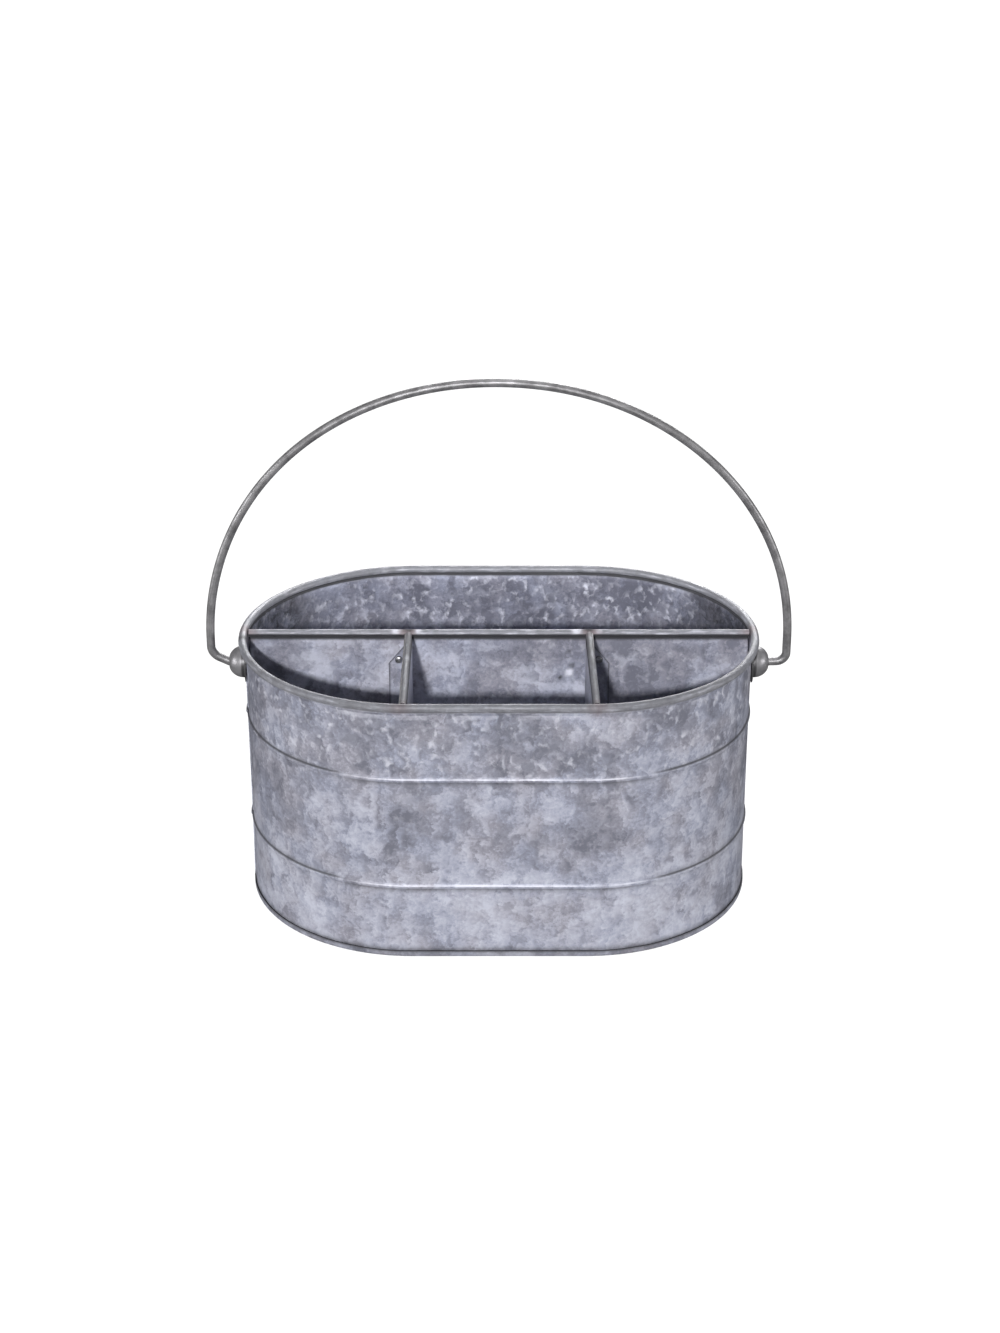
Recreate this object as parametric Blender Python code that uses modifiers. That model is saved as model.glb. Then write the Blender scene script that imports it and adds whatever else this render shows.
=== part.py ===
"""Galvanized oval caddy: a sheet metal tub with four compartments and a swinging wire bail.

The front faces -Y, the length runs along X and the tub stands on the plane z = 0, centred on the
origin. Every round stretch of the tub is a half circle, so an offset of its outline is an outline of
the same kind. Lengths are in metres and angles in radians.
"""

import math

import bmesh
import bpy
from mathutils import Vector

# Tub, measured over the rolled rim
TUB_LENGTH = 0.305
TUB_DEPTH = 0.205
RIM_HEIGHT = 0.1595
SHEET = 0.0006
FIT_GAP = 0.0003
MERGE_DISTANCE = 0.00001
END_STEPS = 24
SMOOTH_ANGLE = math.radians(40)

# Rolled rim, and the sweep of every rolled edge
RIM_TUBE = 0.0048
ROLL_SWEEP = math.radians(290)
ROLL_STEPS = 10

# Swaged beads round the wall, one below the rim and one above the foot
UPPER_BEAD_DROP = 0.0455
LOWER_BEAD_HEIGHT = 0.046
BEAD_WIDTH = 0.0052
BEAD_RISE = 0.0009
BEAD_STEPS = 6

# Bottom pan, pushed over the foot of the wall
FOOT_LIP = 0.0042
FOOT_FILLET = 0.0008
FOOT_FILLET_STEPS = 3
FOOT_RING = 0.009
PANEL_RISE = 0.002
PANEL_STEP = 0.0025

# Long divider, and how far its sheet stands behind the middle
DIVIDER_SHEET = 0.0006
LONG_DIVIDER_SETBACK = 0.004
LONG_ROLL_TUBE = 0.0044
END_FLANGE = 0.012
END_FLANGE_STEPS = 3

# Cross dividers in the front half
CROSS_SPACING = 0.105
CROSS_ROLL_TUBE = 0.004
FLANGE_WIDTH = 0.014
FLANGE_STEPS = 2
FLANGE_TOP_DROP = 0.0042
FLANGE_SNIP = 0.016

# Rivets through each rear flange
RIVET_SHANK = 0.0024
RIVET_HEAD = 0.0046
RIVET_HEAD_HEIGHT = 0.0011
RIVET_TAIL = 0.004
RIVET_TAIL_HEIGHT = 0.0008
RIVET_INSET = 0.0065
UPPER_RIVET_DROP = 0.0175
LOWER_RIVET_HEIGHT = 0.03
RIVET_STEPS = 12
RIVET_DOME_STEPS = 3

# Ears at the two ends, with the bail's pivot below the rim
PIVOT_DROP = 0.0175
PLATE_DIAMETER = 0.025
PLATE_THICKNESS = 0.001
PLATE_SIDES = 32
DOME_DIAMETER = 0.019
DOME_HEIGHT = 0.0097
DOME_SHEET = 0.0008
DOME_SIDES = 24
DOME_STEPS = 6
CUT_OVERRUN = 0.003

# Bail, its heights measured from the pivot and its overhang from each end of the tub
BAIL_WIRE = 0.005
BAIL_OVERHANG = 0.0168
BAIL_RISE = 0.1723
BAIL_ARCH_FOOT_RISE = 0.0145
BAIL_BEND_RADIUS = 0.008
BAIL_LEG_SLOPE = math.radians(12)
BAIL_HEAD = 0.008
BAIL_HEAD_LENGTH = 0.002
BAIL_HEAD_STEP = 0.0002
BAIL_HEAD_PLAY = 0.0012
ARCH_STEPS = 36
BEND_STEPS = 5
WIRE_RESOLUTION = 3
INNER_WIRE_RESOLUTION = 2

# Places worked out from the sizes above
STRAIGHT_HALF = (TUB_LENGTH - TUB_DEPTH) / 2
RIM_ROLL_RADIUS = (RIM_TUBE - SHEET) / 2
WALL_RADIUS = (TUB_DEPTH - RIM_TUBE) / 2 - RIM_ROLL_RADIUS
WALL_INSIDE = WALL_RADIUS - SHEET / 2
WALL_OUTSIDE = WALL_RADIUS + SHEET / 2
FACET_SAG = WALL_INSIDE * (1 - math.cos(math.pi / (2 * END_STEPS)))
FLOOR_TOP = PANEL_RISE + SHEET
DIVIDER_FOOT = FLOOR_TOP + FIT_GAP
DIVIDER_LINE = WALL_INSIDE - FIT_GAP - FACET_SAG - DIVIDER_SHEET / 2
LONG_ROLL_RADIUS = (LONG_ROLL_TUBE - DIVIDER_SHEET) / 2
CROSS_ROLL_RADIUS = (CROSS_ROLL_TUBE - DIVIDER_SHEET) / 2
FLANGE_TOP = RIM_HEIGHT - FLANGE_TOP_DROP
PIVOT_HEIGHT = RIM_HEIGHT - PIVOT_DROP
REAR_FLANGE_Y = LONG_DIVIDER_SETBACK - DIVIDER_SHEET - FIT_GAP
LONG_ROLL_FRONT = LONG_DIVIDER_SETBACK - LONG_ROLL_RADIUS - LONG_ROLL_TUBE / 2
PLATE_INSIDE = WALL_OUTSIDE + FIT_GAP
DOME_SEAT = PLATE_INSIDE + PLATE_THICKNESS + FIT_GAP

# Base colour and roughness of each finish
SHEET_FINISH = ((0.38, 0.39, 0.43, 1.0), 0.45)
PLATE_FINISH = ((0.26, 0.27, 0.3, 1.0), 0.5)
PRESSED_FINISH = ((0.36, 0.36, 0.38, 1.0), 0.4)
WIRE_FINISH = ((0.36, 0.36, 0.36, 1.0), 0.35)


def clear_scene():
    for obj in list(bpy.data.objects):
        bpy.data.objects.remove(obj)


def new_collection(name):
    collection = bpy.data.collections.new(name)
    bpy.context.scene.collection.children.link(collection)
    return collection


def add_material(obj, finish):
    color, roughness = finish
    material = bpy.data.materials.new(obj.name)
    material.use_nodes = True
    shader = material.node_tree.nodes["Principled BSDF"]
    shader.inputs["Base Color"].default_value = color
    shader.inputs["Metallic"].default_value = 1.0
    shader.inputs["Roughness"].default_value = roughness
    obj.data.materials.append(material)


def new_object(name, data, collection, finish=SHEET_FINISH):
    obj = bpy.data.objects.new(name, data)
    collection.objects.link(obj)
    add_material(obj, finish)
    return obj


def finish_mesh(bm, name):
    mesh = bpy.data.meshes.new(name)
    bm.to_mesh(mesh)
    bm.free()
    mesh.shade_smooth()
    mesh.set_sharp_from_angle(angle=SMOOTH_ANGLE)
    return mesh


def solidify(obj, thickness):
    modifier = obj.modifiers.new("sheet", "SOLIDIFY")
    modifier.thickness = thickness
    modifier.solidify_mode = "NON_MANIFOLD"
    modifier.nonmanifold_thickness_mode = "CONSTRAINTS"
    modifier.nonmanifold_merge_threshold = MERGE_DISTANCE
    modifier.offset = 0.0


def cut(obj, cutter, operation="DIFFERENCE"):
    modifier = obj.modifiers.new(operation.lower(), "BOOLEAN")
    modifier.operation = operation
    modifier.object = cutter
    modifier.solver = "EXACT"


def as_cutter(obj):
    obj.hide_render = True
    obj.display_type = "WIRE"
    return obj


def outward(point):
    """Direction square to the oval outline at a point of it, away from the middle."""
    x = max(-STRAIGHT_HALF, min(STRAIGHT_HALF, point.x))
    return Vector((point.x - x, point.y, 0)).normalized()


def oval_outline(radius, height):
    """Corners of the oval whose ends are half circles of this radius, anticlockwise from above."""
    corners = []
    for side in (1, -1):
        for step in range(END_STEPS + 1):
            angle = side * math.pi / 2 - math.pi / 2 + (step / END_STEPS - 0.5) * math.pi
            x = side * STRAIGHT_HALF + radius * math.cos(angle)
            corners.append(Vector((x, radius * math.sin(angle), height)))
    return corners


def oval_y(x, radius):
    """Half depth of the oval of this end radius, at a distance x from the middle."""
    beyond = max(0, abs(x) - STRAIGHT_HALF)
    return math.sqrt(radius ** 2 - beyond ** 2)


def oval_x(y, radius):
    """Half length of the oval of this end radius, at a distance y from the middle."""
    return STRAIGHT_HALF + math.sqrt(radius ** 2 - y ** 2)


def start_outline(bm, radius, height):
    corners = [bm.verts.new(corner) for corner in oval_outline(radius, height)]
    return [bm.edges.new(pair) for pair in zip(corners, corners[1:] + corners[:1])]


def grow(bm, edges):
    """Extrude edges where they lie, and return the new edges and their corners."""
    found = bmesh.ops.extrude_edge_only(bm, edges=edges)["geom"]
    corners = {item for item in found if isinstance(item, bmesh.types.BMVert)}
    grown = [item for item in found if isinstance(item, bmesh.types.BMEdge)]
    return [edge for edge in grown if corners.issuperset(edge.verts)], corners


def extrude_round(bm, edges, stations):
    """Extrude an oval loop through (end radius, height) stations, the first being where it lies."""
    for before, after in zip(stations, stations[1:]):
        edges, corners = grow(bm, edges)
        for corner in corners:
            corner.co += outward(corner.co) * (after[0] - before[0])
            corner.co.z = after[1]


def oval_band(name, stations, collection, thickness):
    """A sheet that runs round the oval, through stations on its middle surface."""
    bm = bmesh.new()
    extrude_round(bm, start_outline(bm, *stations[0]), stations)
    obj = new_object(name, finish_mesh(bm, name), collection)
    solidify(obj, thickness)
    return obj


def roll_points(radius):
    """A rolled edge as (sideways, upward) steps from where the flat sheet ends."""
    points = []
    for step in range(ROLL_STEPS + 1):
        angle = math.pi - ROLL_SWEEP * step / ROLL_STEPS
        points.append((radius * (1 + math.cos(angle)), radius * math.sin(angle)))
    return points


def bead_stations(height):
    """A rounded swage that stands out of the wall, from below to above."""
    stations = []
    for step in range(BEAD_STEPS + 1):
        along = step / BEAD_STEPS - 0.5
        rise = BEAD_RISE * (1 + math.cos(along * math.tau)) / 2
        stations.append((WALL_RADIUS + rise, height + along * BEAD_WIDTH))
    return stations


def make_tub_wall(parts):
    stations = [(WALL_RADIUS, SHEET + FIT_GAP)]
    stations += bead_stations(LOWER_BEAD_HEIGHT)
    stations += bead_stations(RIM_HEIGHT - UPPER_BEAD_DROP)
    stations += [(WALL_RADIUS + side, RIM_HEIGHT + up) for side, up in roll_points(RIM_ROLL_RADIUS)]
    oval_band("tub_wall", stations, parts, SHEET)


def make_tub_floor(parts):
    """A pan with a raised panel, a flat ring to stand on and a lip outside the wall."""
    panel_radius = WALL_INSIDE - FOOT_RING - PANEL_STEP
    lip_radius = WALL_OUTSIDE + FIT_GAP + SHEET / 2
    ring_height = SHEET / 2
    stations = [(panel_radius, ring_height + PANEL_RISE), (panel_radius + PANEL_STEP, ring_height)]
    for step in range(FOOT_FILLET_STEPS + 1):
        angle = step / FOOT_FILLET_STEPS * math.pi / 2
        radius = lip_radius - FOOT_FILLET * (1 - math.sin(angle))
        stations.append((radius, ring_height + FOOT_FILLET * (1 - math.cos(angle))))
    stations.append((lip_radius, FOOT_LIP))
    bm = bmesh.new()
    edges = start_outline(bm, *stations[0])
    bm.faces.new(list(bm.verts))
    extrude_round(bm, edges, stations)
    bmesh.ops.recalc_face_normals(bm, faces=bm.faces)
    floor = new_object("tub_floor", finish_mesh(bm, "tub_floor"), parts)
    solidify(floor, SHEET)


def tube(name, points, diameter, collection, resolution, closed=False, radii=None):
    curve = bpy.data.curves.new(name, "CURVE")
    curve.dimensions = "3D"
    curve.bevel_depth = diameter / 2
    curve.bevel_resolution = resolution
    curve.use_fill_caps = True
    spline = curve.splines.new("POLY")
    spline.points.add(len(points) - 1)
    spline.use_cyclic_u = closed
    for index, point in enumerate(points):
        spline.points[index].co = (*point, 1)
        spline.points[index].radius = radii[index] if radii else 1
    return new_object(name, curve, collection, WIRE_FINISH)


def make_rim_wire(parts):
    diameter = 2 * RIM_ROLL_RADIUS - SHEET - 2 * FIT_GAP
    points = oval_outline(WALL_RADIUS + RIM_ROLL_RADIUS, RIM_HEIGHT)
    tube("rim_wire", points, diameter, parts, INNER_WIRE_RESOLUTION, closed=True)


def rolled_sheet(bm, roll_radius, place, start, end):
    """A flat sheet with a rolled top edge, from start to end along its length.

    place(along, sideways, height) gives a point. The flat part is split at one height, so that a
    flange can grow from below it. Returns the upright edges below the split, at start and at end.
    """
    profile = [(0, DIVIDER_FOOT), (0, FLANGE_TOP)]
    profile += [(side, RIM_HEIGHT + up) for side, up in roll_points(roll_radius)]
    corners = [bm.verts.new(place(start, *point)) for point in profile]
    edges = [bm.edges.new(pair) for pair in zip(corners, corners[1:])]
    far_edges, far_corners = grow(bm, edges)
    bmesh.ops.translate(bm, vec=place(end, 0, 0) - place(start, 0, 0), verts=list(far_corners))
    lowest = min(far_edges, key=lambda edge: edge.verts[0].co.z + edge.verts[1].co.z)
    return edges[0], lowest


def add_flange(bm, edge, path):
    """Grow a flange from an upright edge through (x, y, drop of the top corner) places."""
    foot, top = sorted(vert.co.z for vert in edge.verts)
    for x, y, drop in path:
        (edge,), corners = grow(bm, [edge])
        lower, upper = sorted(corners, key=lambda corner: corner.co.z)
        lower.co = (x, y, foot)
        upper.co = (x, y, top - drop)


def rivet_places():
    """Node name, x and height of each rivet."""
    places = []
    for hand, side in (("left", -1), ("right", 1)):
        x = side * (CROSS_SPACING / 2 + RIVET_INSET)
        places.append((f"rivet_{hand}_upper", x, RIM_HEIGHT - UPPER_RIVET_DROP))
        places.append((f"rivet_{hand}_lower", x, LOWER_RIVET_HEIGHT))
    return places


def make_rivet_holes(cutters):
    holes = []
    depth = 2 * (DIVIDER_SHEET + CUT_OVERRUN)
    for name, x, height in rivet_places():
        bpy.ops.mesh.primitive_cylinder_add(
            vertices=RIVET_STEPS,
            radius=RIVET_SHANK / 2 + FIT_GAP,
            depth=depth,
            location=(x, LONG_DIVIDER_SETBACK, height),
            rotation=(math.pi / 2, 0, 0),
        )
        hole = bpy.context.object
        hole.name = f"{name}_hole"
        for collection in hole.users_collection:
            collection.objects.unlink(hole)
        cutters.objects.link(hole)
        holes.append(as_cutter(hole))
    return holes


def make_long_divider(parts, holes):
    """The sheet down the length, rolled towards the front, its end flanges behind it."""
    end = oval_x(LONG_DIVIDER_SETBACK, DIVIDER_LINE)

    def place(along, side, height):
        return Vector((along, LONG_DIVIDER_SETBACK - side, height))

    bm = bmesh.new()
    lower = rolled_sheet(bm, LONG_ROLL_RADIUS, place, -end, end)
    for edge, side in zip(lower, (-1, 1)):
        path = []
        for step in range(1, END_FLANGE_STEPS + 1):
            y = LONG_DIVIDER_SETBACK + END_FLANGE * step / END_FLANGE_STEPS
            path.append((side * oval_x(y, DIVIDER_LINE), y, FLANGE_SNIP * step / END_FLANGE_STEPS))
        add_flange(bm, edge, path)
    bmesh.ops.recalc_face_normals(bm, faces=bm.faces)
    divider = new_object("long_divider", finish_mesh(bm, "long_divider"), parts)
    solidify(divider, DIVIDER_SHEET)
    for hole in holes:
        cut(divider, hole)


def cross_divider_ends():
    """Y of a cross divider's front end, where its roll meets the wall, and of its rear end."""
    roll_outside = CROSS_SPACING / 2 + CROSS_ROLL_RADIUS + CROSS_ROLL_TUBE / 2
    return -oval_y(roll_outside, DIVIDER_LINE), LONG_ROLL_FRONT - FIT_GAP


def make_cross_divider(hand, side, parts, holes):
    """A sheet from the long divider to the front wall, rolled and flanged away from the middle."""
    x = side * CROSS_SPACING / 2
    front, rear = cross_divider_ends()

    def place(along, sideways, height):
        return Vector((x + side * sideways, along, height))

    bm = bmesh.new()
    lower = rolled_sheet(bm, CROSS_ROLL_RADIUS, place, front, rear)
    path = []
    for step in range(1, FLANGE_STEPS + 1):
        flange_x = x + side * FLANGE_WIDTH * step / FLANGE_STEPS
        path.append((flange_x, -oval_y(flange_x, DIVIDER_LINE), FLANGE_SNIP * step / FLANGE_STEPS))
    add_flange(bm, lower[0], path)
    rear_corner = (x, REAR_FLANGE_Y, 0)
    rear_edge = (x + side * FLANGE_WIDTH, REAR_FLANGE_Y, FLANGE_SNIP)
    add_flange(bm, lower[1], [rear_corner, rear_edge])
    bmesh.ops.recalc_face_normals(bm, faces=bm.faces)
    name = f"cross_divider_{hand}"
    divider = new_object(name, finish_mesh(bm, name), parts)
    solidify(divider, DIVIDER_SHEET)
    for hole in holes:
        if hole.name.startswith(f"rivet_{hand}"):
            cut(divider, hole)


def make_divider_wires(parts):
    """The wires that the dividers' top edges are rolled round."""
    end = oval_x(LONG_DIVIDER_SETBACK, DIVIDER_LINE)
    y = LONG_DIVIDER_SETBACK - LONG_ROLL_RADIUS
    diameter = 2 * LONG_ROLL_RADIUS - DIVIDER_SHEET - 2 * FIT_GAP
    points = [(-end, y, RIM_HEIGHT), (end, y, RIM_HEIGHT)]
    tube("long_divider_wire", points, diameter, parts, INNER_WIRE_RESOLUTION)
    x = CROSS_SPACING / 2 + CROSS_ROLL_RADIUS
    diameter = 2 * CROSS_ROLL_RADIUS - DIVIDER_SHEET - 2 * FIT_GAP
    for hand, side in (("left", -1), ("right", 1)):
        points = [(side * x, y, RIM_HEIGHT) for y in cross_divider_ends()]
        tube(f"cross_divider_wire_{hand}", points, diameter, parts, INNER_WIRE_RESOLUTION)


def turned(name, profile, collection, sides):
    """A shape turned round its own Z axis from a profile of (radius, height), top to bottom."""
    bm = bmesh.new()
    corners = [bm.verts.new((radius, 0, height)) for radius, height in profile]
    for pair in zip(corners, corners[1:]):
        bm.edges.new(pair)
    obj = new_object(name, finish_mesh(bm, name), collection, PRESSED_FINISH)
    modifier = obj.modifiers.new("turn", "SCREW")
    modifier.steps = sides
    modifier.render_steps = sides
    modifier.use_merge_vertices = True
    modifier.merge_threshold = MERGE_DISTANCE
    return obj


def make_rivets(parts):
    """A domed head in front of the flange, a shank through both sheets and a flat tail behind."""
    grip = 2 * DIVIDER_SHEET + 3 * FIT_GAP
    front = REAR_FLANGE_Y - DIVIDER_SHEET / 2 - FIT_GAP
    shank = RIVET_SHANK / 2
    head = RIVET_HEAD / 2
    tail = RIVET_TAIL / 2
    profile = []
    for step in range(RIVET_DOME_STEPS + 1):
        angle = step / RIVET_DOME_STEPS * math.pi / 2
        profile.append((head * math.sin(angle), RIVET_HEAD_HEIGHT * math.cos(angle)))
    profile += [(shank, 0), (shank, -grip), (tail, -grip)]
    profile += [(tail, -grip - RIVET_TAIL_HEIGHT), (0, -grip - RIVET_TAIL_HEIGHT)]
    for name, x, height in rivet_places():
        rivet = turned(name, profile, parts, RIVET_STEPS)
        rivet.location = (x, front, height)
        rivet.rotation_euler = (math.pi / 2, 0, 0)


def make_ear_cutters(cutters):
    """The blank that both ear plates are part of, and the oval that the domes are seated on."""
    middle = PLATE_INSIDE + PLATE_THICKNESS / 2
    reach = PLATE_DIAMETER / 2 + CUT_OVERRUN
    levels = (PIVOT_HEIGHT - reach, PIVOT_HEIGHT + reach)
    band = oval_band("plate_blank", [(middle, z) for z in levels], cutters, PLATE_THICKNESS)
    bm = bmesh.new()
    base = bm.faces.new([bm.verts.new(corner) for corner in oval_outline(DOME_SEAT, levels[0])])
    grown = bmesh.ops.extrude_face_region(bm, geom=[base])["geom"]
    for vert in (item for item in grown if isinstance(item, bmesh.types.BMVert)):
        vert.co.z = levels[1]
    bmesh.ops.recalc_face_normals(bm, faces=bm.faces)
    seat = new_object("dome_seat", finish_mesh(bm, "dome_seat"), cutters)
    return as_cutter(band), as_cutter(seat)


def make_ear(hand, side, parts, band, seat):
    """A curved round plate on the wall, and the hollow dome that the bail's end goes into."""
    bpy.ops.mesh.primitive_cylinder_add(
        vertices=PLATE_SIDES,
        radius=PLATE_DIAMETER / 2,
        depth=2 * (PLATE_THICKNESS + CUT_OVERRUN),
        location=(side * (STRAIGHT_HALF + PLATE_INSIDE), 0, PIVOT_HEIGHT),
        rotation=(0, math.pi / 2, 0),
    )
    plate = bpy.context.object
    plate.name = f"ear_plate_{hand}"
    for collection in plate.users_collection:
        collection.objects.unlink(plate)
    parts.objects.link(plate)
    add_material(plate, PLATE_FINISH)
    cut(plate, band, "INTERSECT")
    middle_radius = (DOME_DIAMETER - DOME_SHEET) / 2
    middle_height = DOME_HEIGHT - DOME_SHEET / 2
    hole = BAIL_WIRE / 2 + FIT_GAP
    first = math.acos(hole / middle_radius)
    profile = []
    for step in range(DOME_STEPS + 1):
        angle = first * (1 - step / DOME_STEPS)
        profile.append((middle_radius * math.cos(angle), middle_height * math.sin(angle)))
    profile.append((middle_radius, -CUT_OVERRUN))
    dome = turned(f"ear_dome_{hand}", profile, parts, DOME_SIDES)
    dome.location = (side * (STRAIGHT_HALF + DOME_SEAT), 0, PIVOT_HEIGHT)
    dome.rotation_euler = (0, side * math.pi / 2, 0)
    solidify(dome, DOME_SHEET)
    cut(dome, seat)


def bail_half():
    """Right half of the bail, from its head in the dome to the top, about the pivot's height."""
    half_span = TUB_LENGTH / 2 + BAIL_OVERHANG
    seat = STRAIGHT_HALF + DOME_SEAT
    apex = seat + DOME_HEIGHT
    head_outside = apex - DOME_SHEET - BAIL_HEAD_PLAY
    head_ratio = BAIL_HEAD / BAIL_WIRE
    points = [(head_outside - BAIL_HEAD_LENGTH, 0, head_ratio), (head_outside, 0, head_ratio)]
    points += [(head_outside + BAIL_HEAD_STEP, 0, 1), (apex, 0, 1)]
    slope = BAIL_LEG_SLOPE
    bend_x = half_span - BAIL_BEND_RADIUS
    lift = (BAIL_BEND_RADIUS + (bend_x - apex) * math.sin(slope)) / math.cos(slope)
    for step in range(BEND_STEPS + 1):
        angle = (slope - math.pi / 2) * (1 - step / BEND_STEPS)
        x = bend_x + BAIL_BEND_RADIUS * math.cos(angle)
        points.append((x, lift + BAIL_BEND_RADIUS * math.sin(angle), 1))
    arch_rise = BAIL_RISE - BAIL_ARCH_FOOT_RISE
    for step in range(ARCH_STEPS // 2):
        angle = step / ARCH_STEPS * math.pi
        height = BAIL_ARCH_FOOT_RISE + arch_rise * math.sin(angle)
        points.append((half_span * math.cos(angle), height, 1))
    return points


def make_bail(parts):
    half = bail_half()
    top = (0, BAIL_RISE, 1)
    mirrored = [(-x, height, radius) for x, height, radius in reversed(half)]
    whole = half + [top] + mirrored
    points = [(x, 0, height) for x, height, _ in whole]
    radii = [radius for _, _, radius in whole]
    bail = tube("bail", points, BAIL_WIRE, parts, WIRE_RESOLUTION, radii=radii)
    bail.location = (0, 0, PIVOT_HEIGHT)


def main():
    clear_scene()
    parts = new_collection("galvanized_caddy")
    cutters = new_collection("cutters")
    make_tub_wall(parts)
    make_rim_wire(parts)
    make_tub_floor(parts)
    holes = make_rivet_holes(cutters)
    make_long_divider(parts, holes)
    band, seat = make_ear_cutters(cutters)
    for hand, side in (("left", -1), ("right", 1)):
        make_cross_divider(hand, side, parts, holes)
        make_ear(hand, side, parts, band, seat)
    make_divider_wires(parts)
    make_rivets(parts)
    make_bail(parts)


main()
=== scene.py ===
"""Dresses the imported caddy: fine sheet metal, wire, ears and rivets with their finishes, and a studio."""

from functools import partial
from math import acos, asin, cos, dist, exp, pi, radians, sin, sqrt, tan, tau

import bmesh
import bpy
from bpy.props import FloatProperty, FloatVectorProperty, PointerProperty, StringProperty
from mathutils import Matrix, Vector, noise


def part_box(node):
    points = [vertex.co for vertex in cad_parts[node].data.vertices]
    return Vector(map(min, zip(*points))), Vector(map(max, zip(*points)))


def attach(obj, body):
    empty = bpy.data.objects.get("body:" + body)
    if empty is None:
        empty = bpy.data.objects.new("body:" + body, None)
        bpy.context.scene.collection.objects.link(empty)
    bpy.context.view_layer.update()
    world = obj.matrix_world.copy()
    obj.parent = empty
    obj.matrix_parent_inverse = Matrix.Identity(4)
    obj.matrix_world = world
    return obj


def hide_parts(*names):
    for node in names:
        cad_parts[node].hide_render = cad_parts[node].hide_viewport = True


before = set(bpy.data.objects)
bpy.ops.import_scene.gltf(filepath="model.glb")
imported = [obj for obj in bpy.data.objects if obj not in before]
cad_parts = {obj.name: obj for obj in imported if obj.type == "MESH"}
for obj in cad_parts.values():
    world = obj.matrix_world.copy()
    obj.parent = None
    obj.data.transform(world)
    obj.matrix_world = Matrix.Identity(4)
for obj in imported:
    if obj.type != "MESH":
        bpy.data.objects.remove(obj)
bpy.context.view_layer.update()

bl_info = {
    "name": "Galvanized caddy",
    "version": (1, 0, 0),
    "blender": (4, 5, 0),
    "location": "View3D > Sidebar > Caddy",
    "description": "Builds the detailed pieces and finishes of a galvanized sheet metal caddy",
    "category": "Object",
}

# The tub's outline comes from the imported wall: two half circles joined by straight sides
WALL_LOW, WALL_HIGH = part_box("tub_wall")
PAN_LOW, PAN_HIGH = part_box("tub_floor")
BAIL_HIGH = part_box("bail")[1]
STRAIGHT_HALF = WALL_HIGH.x - WALL_HIGH.y
RIM_TUBE = 0.0048
RIM_Z = WALL_HIGH.z - RIM_TUBE / 2
SHEET = 0.0006
RIM_ROLL = (RIM_TUBE - SHEET) / 2
WALL_MIDDLE = WALL_HIGH.y - RIM_TUBE / 2 - RIM_ROLL
PIVOT_Z = sum(corner.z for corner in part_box("ear_dome_left")) / 2

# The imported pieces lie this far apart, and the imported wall's flats stand this far inside its true round
FIT_GAP = 0.0003
FACET_SAG = 0.00021
DIVIDER_LINE = WALL_MIDDLE - SHEET - FIT_GAP - FACET_SAG

# The rim: how far under its middle the neck starts, the neck's height, and the rows of each
NECK_DROP = 0.0056
NECK_HEIGHT = 0.0028
NECK_STEPS = 7
RIM_STEPS = 34

# The dividers: top of the flat sheet, folds, snipped corners, and where dividers and solder lie
FLANGE_TOP = RIM_Z - 0.0042
FOLD_RADIUS = 0.0010
FLANGE_SNIP = 0.016
LONG_DIVIDER_Y = 0.004
CROSS_DIVIDER_X = 0.0525
WELD_X = 0.0545

# Steps round an end of the oval and along a straight side, what counts as one place, and how far
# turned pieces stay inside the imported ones
END_STEPS = 34
SIDE_STEPS = 40
SAME_PLACE = 0.000002
TRIM = 0.00005

# The marks painted on the sheets: grime that also holds painted shade, heat tint, pooled zinc that also holds
# painted highlights, and a painted shade in the rear compartment's inside ends
MARKS = ("grime", "tint", "pooled", "painted_end_shade")


def linear(code):
    """An sRGB hex colour as linear red, green, blue and alpha."""
    shares = [int(code.lstrip("#")[at:at + 2], 16) / 255 for at in (0, 2, 4)]
    return [s / 12.92 if s <= 0.04045 else ((s + 0.055) / 1.055) ** 2.4 for s in shares] + [1.0]


def per_mm(size):
    """Texture scale that makes one cell of a pattern this many millimetres wide."""
    return 1000 / size


def smooth_step(low, high, value):
    """0 up to low and 1 from high on, with a smooth rise between them."""
    share = min(1, max(0, (value - low) / (high - low)))
    return share * share * (3 - 2 * share)


def evenly(start, end, count):
    """This many values from start to end, evenly apart."""
    return [start + (end - start) / (count - 1) * at for at in range(count - 1)] + [end]


def waver(*place):
    """A slow change from place to place, between -1 and 1."""
    return noise.noise(Vector(place))


def spot(distance, reach):
    """1 at the middle of a spot, fading to nothing over its reach."""
    return exp(-(distance / reach) ** 2)


# Sizes and colours that a user would change

class TubSettings(bpy.types.PropertyGroup):
    bead_rise: FloatProperty(
        name="Bead rise", description="How far the swaged beads stand out of the wall", default=0.0009,
        min=0.0, max=0.002, unit="LENGTH")
    bead_width: FloatProperty(
        name="Bead width", description="Width of a swaged bead up the wall", default=0.0034, min=0.002,
        max=0.01, unit="LENGTH")
    upper_bead: FloatProperty(
        name="Upper bead height", description="Height of the upper bead over the table", default=0.114,
        unit="LENGTH")
    lower_bead: FloatProperty(
        name="Lower bead height", description="Height of the lower bead over the table", default=0.046,
        unit="LENGTH")
    neck: FloatProperty(
        name="Neck depth", description="How far the wall is pinched in under the rim's wire",
        default=0.0009, min=0.0, max=0.0016, unit="LENGTH")
    dent_depth: FloatProperty(
        name="Dent depth", description="How far the sheet wanders from flat", default=0.0003, min=0.0,
        max=0.001, unit="LENGTH")
    lap: FloatProperty(
        name="Lap width", description="Width of the lapped upright seam under the left ear", default=0.009,
        min=0.004, max=0.015, unit="LENGTH")


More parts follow.
